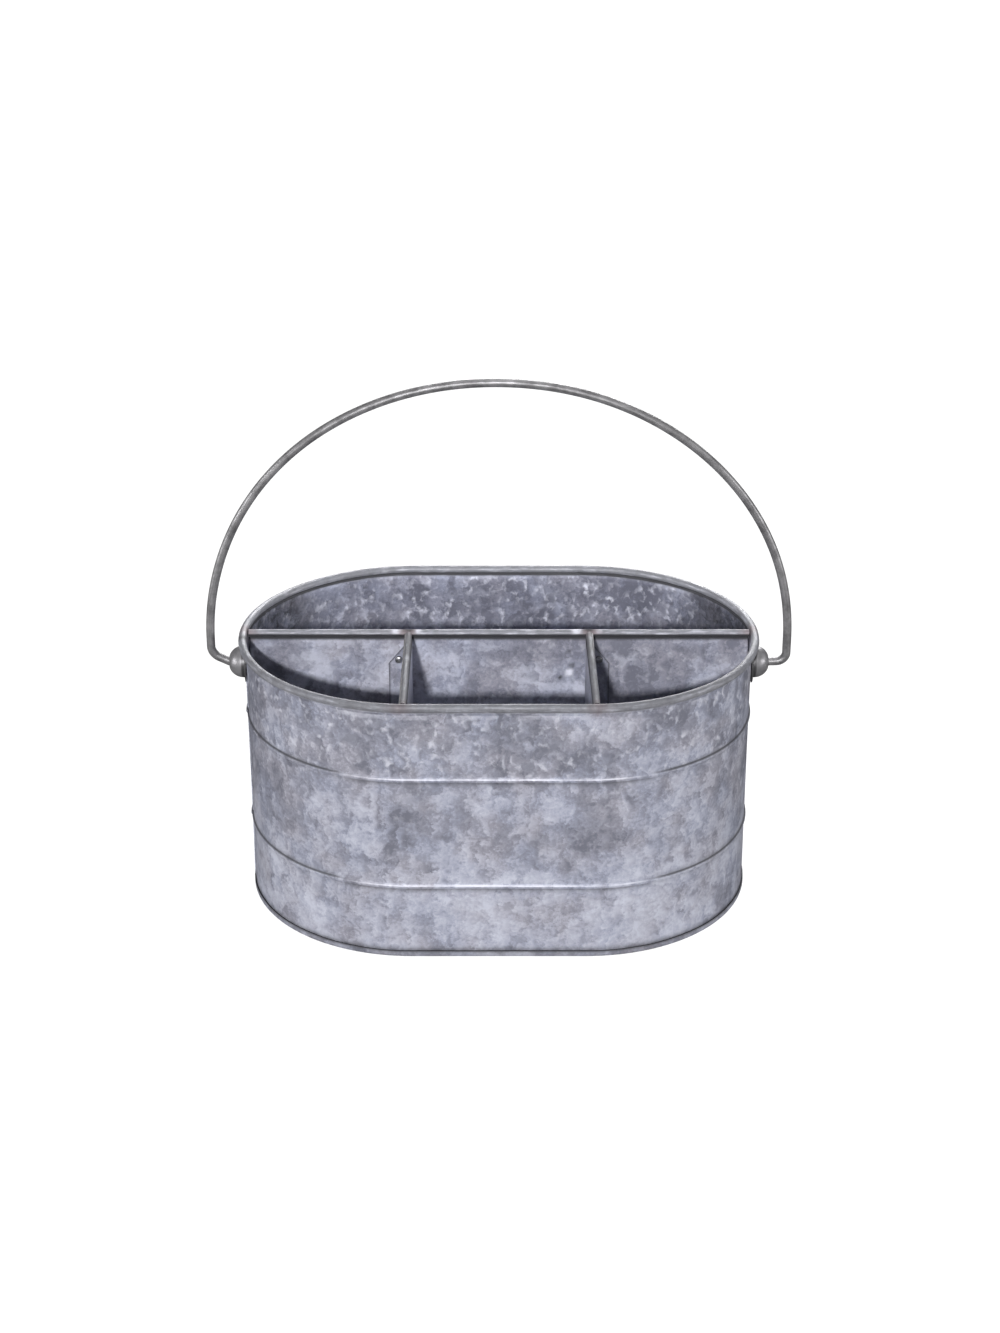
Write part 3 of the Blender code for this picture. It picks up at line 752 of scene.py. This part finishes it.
def folded_sheet(plan, roll_side, roll_radius, roll_ends, foot, seed, joints, roll_darkening, spot_marks=()):
    """A divider: an upright sheet that follows a plan, with flanges at its ends and a rolled top edge.

    plan is a list of (x, y, drop of the top, True where the sheet carries the roll). roll_side is the
    direction that the top edge is rolled to, and roll_ends are the (x, y) places where the roll ends.
    joints are soldered places, and scorches are spots as (mark, middle, reach).
    """
    roll = [(side, RIM_Z + up) for side, up in roll_path(roll_radius, radians(300), 26)]
    stem = [(0.0, height) for height in evenly(FLANGE_TOP, RIM_Z, 4)[:-1]]
    heights = evenly(0, 0.65, 14)[:-1] + evenly(0.65, 1, 26)
    lengths = path_lengths([point[:2] for point in plan])

    def marks(place, swept=None, flange=False, edge=False):
        """The marks at a place on the flat sheet or, with the share swept so far, on the roll."""
        if swept is None:
            # A painted shade lies in the corner under the roll and dirt at the foot; a flange is darker all
            # over, with a painted shadow along its free edges
            grime = smooth_step(RIM_Z - 0.0060, RIM_Z - 0.0050, place.z) + 0.5 * spot(place.z - foot, 0.006)
            grime += flange * (0.75 if edge else 0.28)
        else:
            # The roll's underside gets a painted shade, and the rest of the roll is darkened all over
            grime = 0.95 if swept > 0.6 else roll_darkening
        pooled = 0.12 if swept is None else 0.2
        values = {"grime": grime, "tint": heat_tint(place, joints), "pooled": pooled}
        for mark, middle, reach in spot_marks:
            values[mark] += spot((place - middle).length, reach)
        return values

    lower = []
    for (x, y, drop, carries), along in zip(plan, lengths):
        column = []
        for share in heights:
            z = foot + (FLANGE_TOP - drop - foot) * share
            fade = 1 - smooth_step(FLANGE_TOP - 0.02, FLANGE_TOP, z)
            for distance in (z - foot, lengths[-1] - along, along):
                fade *= smooth_step(0, 0.02, distance)
            push = wander(along, z, 0.0006, seed) * fade
            place = Vector((x + roll_side.x * push, y + roll_side.y * push, z))
            edge = share == 1 or along in (0, lengths[-1])
            column.append((place, (along, z, seed), marks(place, flange=not carries, edge=edge)))
        lower.append(column)

    carrying = [at for at, point in enumerate(plan) if point[3]]
    spots = [(plan[at][:2], lengths[at]) for at in carrying]
    reaches = [dist(end, place) for end, (place, _) in zip(roll_ends, (spots[0], spots[-1]))]
    spots = [(roll_ends[0], spots[0][1] - reaches[0]), *spots, (roll_ends[1], spots[-1][1] + reaches[1])]
    rows = path_lengths(stem + roll)
    upper = []
    for (x, y), along in spots:
        swell = 0.00007 * waver(along * 70, 0, seed) - 0.00007
        bow = 0.00022 * waver(along * 22, 9, seed)
        column = []
        for row, (side, z) in enumerate(stem + roll):
            swept, lift = None, 0.0
            if row >= len(stem):
                swept = (row - len(stem)) / (len(roll) - 1)
                side = roll_radius + (side - roll_radius) * (1 + swell / roll_radius)
                lift = (z - RIM_Z) * swell / roll_radius - 0.00012 * ripple(along, 40, 2, seed)
            side += bow * smooth_step(FLANGE_TOP, RIM_Z, z)
            place = Vector((x + roll_side.x * side, y + roll_side.y * side, z + lift))
            column.append((place, (along, FLANGE_TOP + rows[row], seed), marks(place, swept)))
        upper.append(column)
    return new_draft(lower, upper)


def fold(corner, arriving, leaving):
    """Places round a fold at a corner, between two unit directions in plan."""
    turn = acos(max(-1, min(1, arriving.dot(leaving))))
    back = FOLD_RADIUS * tan(turn / 2)
    start = corner - arriving * back
    end = corner + leaving * back
    return [start.lerp(corner, share).lerp(corner.lerp(end, share), share) for share in evenly(0, 1, 5)]


def build_long_divider(material):
    """The long divider with its end flanges, rolled edge, solder spots and one spot weld."""
    y = LONG_DIVIDER_Y
    roll_radius = 0.0019
    end = STRAIGHT_HALF + oval_reach(y, DIVIDER_LINE)
    plan = []
    for side in (-1, 1):
        flange = []
        for step in range(1, 9):
            back = y + 0.012 * step / 8
            x = side * (STRAIGHT_HALF + oval_reach(back, DIVIDER_LINE))
            flange.append((x, back, FLANGE_SNIP * step / 8, False))
        corner = Vector((side * end, y))
        bend = fold(corner, Vector((side, 0)), (Vector(flange[0][:2]) - corner).normalized())
        turned = [(place.x, place.y, 0.0, False) for place in bend[1:]] + flange[1:]
        start = (bend[0].x, bend[0].y, 0.0, True)
        if side < 0:
            plan = [*reversed(turned), start]
        else:
            inner = evenly(plan[-1][0], bend[0].x, 150)[1:-1]
            plan += [*((x, y, 0.0, True) for x in inner), start, *turned]
    joints = [
        Vector((side * x, back, RIM_Z)) for x, back in ((0.147, 0.002), (WELD_X, 0.001)) for side in (-1, 1)]
    # A bright spot weld with scorched edges shows on the middle compartment's side
    spot_marks = [
        (mark, Vector((x, y, RIM_Z - below)), reach)
        for mark, x, below, reach in (
            ("pooled", 0.0416, 0.0265, 0.0026), ("grime", 0.0362, 0.0300, 0.0022),
            ("grime", 0.0432, 0.0220, 0.0020), ("grime", 0.0412, 0.0125, 0.0016))]
    # Painted highlights lie on the roll on both sides of each cross divider, and solder burnt dull behind it
    # with a heat tint
    spot_marks += [
        (mark, Vector((joint + aside, back, RIM_Z + roll_radius)), reach)
        for joint in (-0.0528, 0.0530)
        for mark, aside, back, reach in (
            ("pooled", -0.0072, 0.0018, 0.0026), ("pooled", 0.0052, 0.0018, 0.0020),
            ("grime", 0.0, 0.0034, 0.0024), ("tint", 0.0, 0.0020, 0.0030))]
    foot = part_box("long_divider")[0].z
    roll_ends = ((-end, y), (end, y))
    draft = folded_sheet(plan, Vector((0, -1)), roll_radius, roll_ends, foot, 0.2, joints, 0.42, spot_marks)
    make_piece(draft, "long_divider", material, SHEET)


def build_cross_divider(hand, side, material):
    """A cross divider, with one flange along the front wall and one riveted to the long divider."""
    node = f"cross_divider_{hand}"
    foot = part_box(node)[0].z
    x = side * CROSS_DIVIDER_X
    roll_radius = 0.0017

    def wall_line(distance):
        """How far from the long axis the wall's inside is, at a distance from the middle."""
        return oval_reach(max(0, distance - STRAIGHT_HALF), DIVIDER_LINE)

    roll_front, roll_rear, rear = -wall_line(CROSS_DIVIDER_X + 0.0037), -0.0004, 0.0031
    flange = []
    for step in range(1, 8):
        flange_x = CROSS_DIVIDER_X + 0.014 * step / 7
        flange.append((side * flange_x, -wall_line(flange_x), FLANGE_SNIP * step / 7, False))
    corner = Vector((x, -wall_line(CROSS_DIVIDER_X)))
    front_bend = fold(corner, (corner - Vector(flange[0][:2])).normalized(), Vector((0, 1)))
    rear_bend = fold(Vector((x, rear)), Vector((0, 1)), Vector((side, 0)))
    start = max(front_bend[-1].y, roll_front + 0.0002)
    plan = [*reversed(flange[1:]), *((place.x, place.y, 0.0, False) for place in front_bend[:-1])]
    plan += [(x, y, 0.0, True) for y in evenly(start, roll_rear - 0.0002, 40)]
    plan += [(place.x, place.y, 0.0, False) for place in rear_bend]
    for step in range(1, 9):
        plan.append((x + side * (0.001 + 0.013 * step / 8), rear, FLANGE_SNIP * step / 8, False))
    joints = [Vector((x + side * roll_radius, y, RIM_Z)) for y in (roll_front, roll_rear)]
    roll_ends = ((x, roll_front), (x, roll_rear))
    seed = 0.35 + 0.1 * side
    draft = folded_sheet(plan, Vector((side, 0)), roll_radius, roll_ends, foot, seed, joints, 0.72)
    # Both were soldered in slightly off true, at the rear and at the front
    lean_rear, lean_front = {"left": (0.0014, 0.0012), "right": (-0.0012, 0.0)}[hand]
    for corner in draft.verts:
        back = min(1, max(0, 1 + corner.co.y / WALL_MIDDLE))
        corner.co.x += lean_rear * back + lean_front * (1 - back)
    make_piece(draft, node, material, SHEET)


# Turned and pressed pieces

def turned_draft(profile, sides, seed, uneven, grime, place):
    """The shape turned round Z through (radius, height) places, with their grime and painted shade, then
    moved to its place.
    """
    lengths = path_lengths(profile)
    columns = []
    for angle in full_turn(sides):
        spoke = Vector((cos(angle), sin(angle), 0))
        column = []
        for (radius, height), along, dirt_and_shade in zip(profile, lengths, grime):
            off = uneven * waver(spoke.x * 1.7, spoke.y * 1.7, height * 300 + seed)
            corner = spoke * max(0.0, radius + off * (radius > 0)) + Vector((0, 0, height + off))
            column.append((corner, (spoke.x * along, spoke.y * along, seed), {"grime": dirt_and_shade}))
        columns.append(column)
    draft = new_draft(columns)
    draft.transform(place)
    return draft


def build_ear(hand, side, material):
    """A round plate curved to the wall, and the hollow dome on it that holds the bail's end."""
    low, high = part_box(f"ear_plate_{hand}")
    inner = WALL_MIDDLE + SHEET / 2 + FIT_GAP
    plate = 0.001
    half = (high.z - low.z) / 2
    # Rolled edges and a slightly dished face, as (share of the radius, height over the wall)
    section = (
        (0.0, 0.00085), (0.3, 0.00088), (0.6, 0.00094), (0.78, plate), (0.88, 0.00098), (0.94, 0.00088),
        (0.975, 0.00070), (0.993, 0.00045), (1.0, 0.0002), (0.99, 0.0), (0.8, 0.0), (0.0, 0.0))
    columns = []
    for angle in full_turn(72):
        column = []
        for share, proud in section:
            sideways, up = half * share * cos(angle), half * share * sin(angle)
            around, radius = asin(sideways / inner), inner + proud
            out = STRAIGHT_HALF + radius * cos(around)
            place = Vector((side * out, radius * sin(around), PIVOT_Z + up))
            # A painted shade where the dome sits on the plate and along the plate's edge on the wall
            grime = 0.85 * spot((share - 0.78) * half, 0.0014) + 0.9 * spot((share - 1.02) * half, 0.0008)
            column.append((place, (sideways, up, 2.0 + side), {"grime": grime}))
        columns.append(column)
    draft = new_draft(columns)
    make_piece(draft, f"ear_plate_{hand}", material)

    # The dome has a rounded shoulder and a turned-in edge at the wire's hole
    low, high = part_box(f"ear_dome_{hand}")
    seat = STRAIGHT_HALF + inner + plate + FIT_GAP
    height = max(abs(low.x), abs(high.x)) - seat
    radius = (high.z - low.z) / 2 - TRIM
    hole = 0.0028
    edge = hole + 0.0004
    wall = 0.0008
    outside = [(radius, -wall), (radius, 0.0004)]
    for step in range(1, 19):
        angle = step / 18 * acos(edge / radius)
        across = radius * abs(cos(angle)) ** 0.9 if step < 18 else edge
        outside.append((across, height * sin(angle) ** 0.95))
    top = outside[-1][1]
    shrink = 0.915
    inside = [(hole, top - wall / 2), (hole, top - wall)]
    inside += [(r * shrink, h - wall) for r, h in reversed(outside[4:-1:2]) if r * shrink > hole + 0.0005]
    profile = outside + inside + [(radius - wall, -wall)]
    # A painted shade under the dome's brim and round its hole
    grime = [0.8 if h < wall else 0.75 * spot(r - hole, 0.0012) for r, h in profile]
    place = Matrix.Translation((side * seat, 0, PIVOT_Z)) @ Matrix.Rotation(side * pi / 2, 4, "Y")
    draft = turned_draft(profile, 64, 4.0 + side, 0.00003, grime, place)
    make_piece(draft, f"ear_dome_{hand}", material)


def build_rivet(node, material):
    """A rivet with a domed head in front and a flattened tail behind the long divider."""
    low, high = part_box(node)
    middle = (low + high) / 2
    head = (high.x - low.x) / 2 - TRIM
    front = 0.0025
    rise = front - low.y
    back = front - high.y
    profile = []
    for step in range(13):
        angle = step / 12 * pi / 2
        profile.append((head * sin(angle), rise * cos(angle) ** 0.8 * 0.97))
    profile += [(head * 0.97, -0.0001), (0.0012, -0.0001), (0.0012, back + 0.0008), (0.0019, back + 0.0007)]
    profile += [(0.0020, back + 0.0004), (0.0017, back + 0.0001), (0, back)]
    # A painted shade round the head's edge
    grime = [0.8 * smooth_step(0.8, 1.0, radius / head) for radius, _ in profile]
    place = Matrix.Translation((middle.x, front, middle.z)) @ Matrix.Rotation(pi / 2, 4, "X")
    draft = turned_draft(profile, 32, 6.0 + middle.x * 9 + middle.z, 0.00006, grime, place)
    make_piece(draft, node, material)


# Bail

def bail_path(fitting):
    """(x, height over the pivot, radius) along the bail's wire, from the left head to the right one."""
    wire = fitting.wire_diameter / 2
    # The wire's outside stays 0.1 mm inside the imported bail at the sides, and 0.7 mm under its top
    half_span = BAIL_HIGH.x - 0.0026
    rise = BAIL_HIGH.z - PIVOT_Z - 0.0032
    foot = 0.0145
    # Under 1, the shoulders are fuller than an ellipse's
    fullness = 0.98
    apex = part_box("ear_dome_right")[1].x
    head_outside = apex - 0.002
    head, head_edge = 0.0039, 0.0034
    halves = []
    for slope, bend_radius in ((fitting.left_slope, 0.0080), (fitting.right_slope, 0.0058)):
        points = [
            (head_outside - 0.002, 0, head_edge), (head_outside - 0.0018, 0, head),
            (head_outside - 0.0003, 0, head), (head_outside, 0, head_edge), (head_outside + 0.0002, 0, wire),
            (apex - 0.0006, 0, wire)]
        bend_x = half_span - bend_radius
        lift = (bend_radius + (bend_x - apex) * sin(slope)) / cos(slope)
        for step in range(15):
            angle = (slope - pi / 2) * (1 - step / 14)
            points.append((bend_x + bend_radius * cos(angle), lift + bend_radius * sin(angle), wire))
        foot_z = max(foot, lift + 0.002)
        for step in range(60):
            angle = (step + 0.5) / 60 * pi / 2
            up = foot_z + (rise - foot_z) * sin(angle) ** fullness
            points.append((half_span * cos(angle) ** fullness, up, wire))
        halves.append(points)
    left = [(-x, height, radius) for x, height, radius in halves[0]]
    # The crown leans a little to the left
    return [
        (x - 0.0016 * smooth_step(0.3 * rise, rise, height), height, radius)
        for x, height, radius in (*left, (0, rise, wire), *reversed(halves[1]))]


def build_bail(fitting, material):
    """The bail, one wire with upset heads inside the domes, and closed ends."""
    points = bail_path(fitting)
    sides = 20
    places = []
    for x, height, _ in points:
        free = smooth_step(0.01, 0.05, height)
        places.append(Vector((x, 0.0003 * free * waver(x * 18, height * 18, 2), PIVOT_Z + height)))
    across = Vector((0, 1, 0))
    columns = []
    along = 0.0
    for at, place in enumerate(places):
        before, after = places[max(0, at - 1)], places[min(len(places) - 1, at + 1)]
        outward = (after - before).normalized().cross(across).normalized()
        along += (place - before).length
        column = []
        for turn, angle in enumerate(full_turn(sides)):
            rim = across * cos(angle) + outward * sin(angle)
            laid = (along, turn / sides * tau * fitting.wire_diameter / 2, 3.0)
            column.append((place + rim * points[at][2], laid, {}))
        columns.append(column)
    draft = new_draft(columns)
    bmesh.ops.remove_doubles(draft, verts=draft.verts, dist=SAME_PLACE)
    bmesh.ops.holes_fill(draft, edges=draft.edges, sides=sides + 1)
    make_piece(draft, "bail", material, body="bail")


# Stage

def add_lamp(scene, name, kind, place, energy, lit, **settings):
    """A lamp turned to the caddy, lighting what the collection lit says."""
    light = bpy.data.lights.new(name, kind)
    light.energy = energy
    for key, value in settings.items():
        setattr(light, key, value)
    lamp = bpy.data.objects.new(name, light)
    lamp.location = place
    turn_to(lamp, (0, 0, 0.1))
    scene.collection.objects.link(lamp)
    lamp.light_linking.receiver_collection = lit
    return lamp


def turn_to(thing, aim):
    """Turns a lamp or camera to the place that it aims at."""
    thing.rotation_euler = (Vector(aim) - thing.location).to_track_quat("-Z", "Y").to_euler()


# Operators

class CADDY_OT_wall(bpy.types.Operator):
    """Make the tub's wall with its beads, rolled rim and lapped seam"""
    bl_idname = "caddy.wall"
    bl_label = "Tub wall"

    def execute(self, context):
        build_wall(context.scene.caddy_tub, *wall_finishes(context.scene.caddy_zinc))
        return {"FINISHED"}


class CADDY_OT_pan(bpy.types.Operator):
    """Make the bottom pan with its lip and raised panel"""
    bl_idname = "caddy.pan"
    bl_label = "Bottom pan"

    def execute(self, context):
        build_pan(*wall_finishes(context.scene.caddy_zinc))
        return {"FINISHED"}


class CADDY_OT_dividers(bpy.types.Operator):
    """Make the long divider and the two cross dividers with their flanges and rolled edges"""
    bl_idname = "caddy.dividers"
    bl_label = "Dividers"

    def execute(self, context):
        zinc = context.scene.caddy_zinc
        # The dividers' zinc is painted lighter and given more pale smears, as painted light
        material = finish_named("divider_zinc", hot_dip_zinc, zinc, zinc.divider_lift, flaky=0.4, smeared=0.9)
        build_long_divider(material)
        build_cross_divider("left", -1, material)
        build_cross_divider("right", 1, material)
        return {"FINISHED"}


class CADDY_OT_ears(bpy.types.Operator):
    """Make the plates and hollow domes that hold the bail"""
    bl_idname = "caddy.ears"
    bl_label = "Ears"

    def execute(self, context):
        fitting = context.scene.caddy_fitting
        material = finish_named("pressed_zinc", pressed_zinc, fitting.ear, fitting.ear_dark, 4.0, 0.65, 0.42)
        build_ear("left", -1, material)
        build_ear("right", 1, material)
        return {"FINISHED"}


class CADDY_OT_rivets(bpy.types.Operator):
    """Make the four rivets of the cross dividers' rear flanges"""
    bl_idname = "caddy.rivets"
    bl_label = "Rivets"

    def execute(self, context):
        fitting = context.scene.caddy_fitting
        material = finish_named("rivet_zinc", pressed_zinc, fitting.rivet, fitting.ear_dark, 1.5, 0.8, 0.32)
        for hand in ("left", "right"):
            for level in ("upper", "lower"):
                build_rivet(f"rivet_{hand}_{level}", material)
        return {"FINISHED"}


class CADDY_OT_bail(bpy.types.Operator):
    """Make the bail from one bent wire"""
    bl_idname = "caddy.bail"
    bl_label = "Bail"

    def execute(self, context):
        fitting = context.scene.caddy_fitting
        build_bail(fitting, finish_named("galvanized_wire", galvanized_wire, fitting))
        return {"FINISHED"}


class CADDY_OT_edge_wires(bpy.types.Operator):
    """Give the wires inside the rolled edges their finish"""
    bl_idname = "caddy.edge_wires"
    bl_label = "Edge wires"

    def execute(self, context):
        material = finish_named("hidden_wire", galvanized_wire, context.scene.caddy_fitting, hidden=True)
        for node in ("rim_wire", "long_divider_wire", "cross_divider_wire_left", "cross_divider_wire_right"):
            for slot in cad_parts[node].material_slots:
                slot.material = material
        return {"FINISHED"}


class CADDY_OT_studio(bpy.types.Operator):
    """Set up the paper floor, the soft lights and the camera"""
    bl_idname = "caddy.studio"
    bl_label = "Studio"

    def execute(self, context):
        scene = context.scene
        studio = scene.caddy_studio
        draft = bmesh.new()
        bmesh.ops.create_grid(draft, x_segments=8, y_segments=8, size=8.0)
        mesh = bpy.data.meshes.new("paper_floor")
        draft.to_mesh(mesh)
        draft.free()
        mesh.materials.append(matte_paper(studio))
        floor = bpy.data.objects.new("paper_floor", mesh)
        floor.location.z = -0.0001
        scene.collection.objects.link(floor)
        # The paper lights the metal softly from below, but isn't mirrored in it
        floor.visible_glossy = False

        world = bpy.data.worlds.new("studio_room")
        world.use_nodes = True
        world.node_tree.nodes["Background"].inputs["Color"].default_value = (1.0, 1.0, 1.0, 1.0)
        scene.world = world
        # The room behind the paper is white to the camera and lights nothing
        world.cycles_visibility.diffuse = False
        world.cycles_visibility.glossy = False

        # The paper has its own soft light and no other, so that it is evenly white without glare on the
        # metal's edges
        paper, unlit = (bpy.data.collections.new(name) for name in ("lit_paper", "unlit_paper"))
        for group in (paper, unlit):
            scene.collection.children.link(group)
            group.objects.link(floor)
        unlit.collection_objects[0].light_linking.link_state = "EXCLUDE"
        for name, place, (wide, high), power in (
                ("key_light", (-0.36, -2.95, 1.34), (0.16, 0.14), studio.key_power),
                ("fill_left", (-2.80, -1.00, 0.60), (1.5, 0.8), studio.fill_power),
                ("fill_right", (2.80, -1.00, 0.60), (1.5, 0.8), studio.fill_power),
                ("top_light", (0.1, 0.1, 2.9), (2.0, 2.0), studio.top_power),
                ("back_light", (0.4, 2.9, 1.50), (2.0, 1.2), studio.back_power)):
            add_lamp(scene, name, "AREA", place, power, unlit, shape="RECTANGLE", size=wide, size_y=high)
        above = (0, 0, 2)
        sheet = add_lamp(scene, "floor_light", "SUN", above, studio.floor_light, paper, angle=radians(90))
        sheet.light_linking.blocker_collection = paper
        add_lamp(scene, "room_light", "SUN", above, studio.room_light, unlit, angle=radians(150))

        lens = bpy.data.cameras.new("picture_camera")
        lens.sensor_width = 36.0
        lens.lens = studio.lens
        lens.shift_x = studio.shift
        lens.clip_start = 0.01
        camera = bpy.data.objects.new("picture_camera", lens)
        camera.location = studio.camera_place
        turn_to(camera, studio.camera_aim)
        scene.collection.objects.link(camera)
        scene.camera = camera
        scene.view_settings.view_transform = "Standard"
        return {"FINISHED"}


class CADDY_PT_sidebar(bpy.types.Panel):
    bl_label = "Galvanized caddy"
    bl_idname = "CADDY_PT_sidebar"
    bl_space_type = "VIEW_3D"
    bl_region_type = "UI"
    bl_category = "Caddy"

    def draw(self, context):
        for step in STEPS:
            self.layout.operator(step.bl_idname)
        for name, group in GROUPS.items():
            box = self.layout.box()
            for key in group.__annotations__:
                box.prop(getattr(context.scene, name), key)


GROUPS = {
    "caddy_tub": TubSettings, "caddy_zinc": ZincSettings, "caddy_fitting": FittingSettings,
    "caddy_studio": StudioSettings}
STEPS = (
    CADDY_OT_studio, CADDY_OT_wall, CADDY_OT_pan, CADDY_OT_dividers, CADDY_OT_ears, CADDY_OT_rivets,
    CADDY_OT_bail, CADDY_OT_edge_wires)
CLASSES = (*GROUPS.values(), *STEPS, CADDY_PT_sidebar)


def register():
    for kind in CLASSES:
        bpy.utils.register_class(kind)
    for name, group in GROUPS.items():
        setattr(bpy.types.Scene, name, PointerProperty(type=group))


def unregister():
    for name in GROUPS:
        delattr(bpy.types.Scene, name)
    for kind in reversed(CLASSES):
        bpy.utils.unregister_class(kind)


def main():
    register()
    for step in STEPS:
        group, name = step.bl_idname.split(".")
        getattr(getattr(bpy.ops, group), name)()


if __name__ == "__main__":
    main()
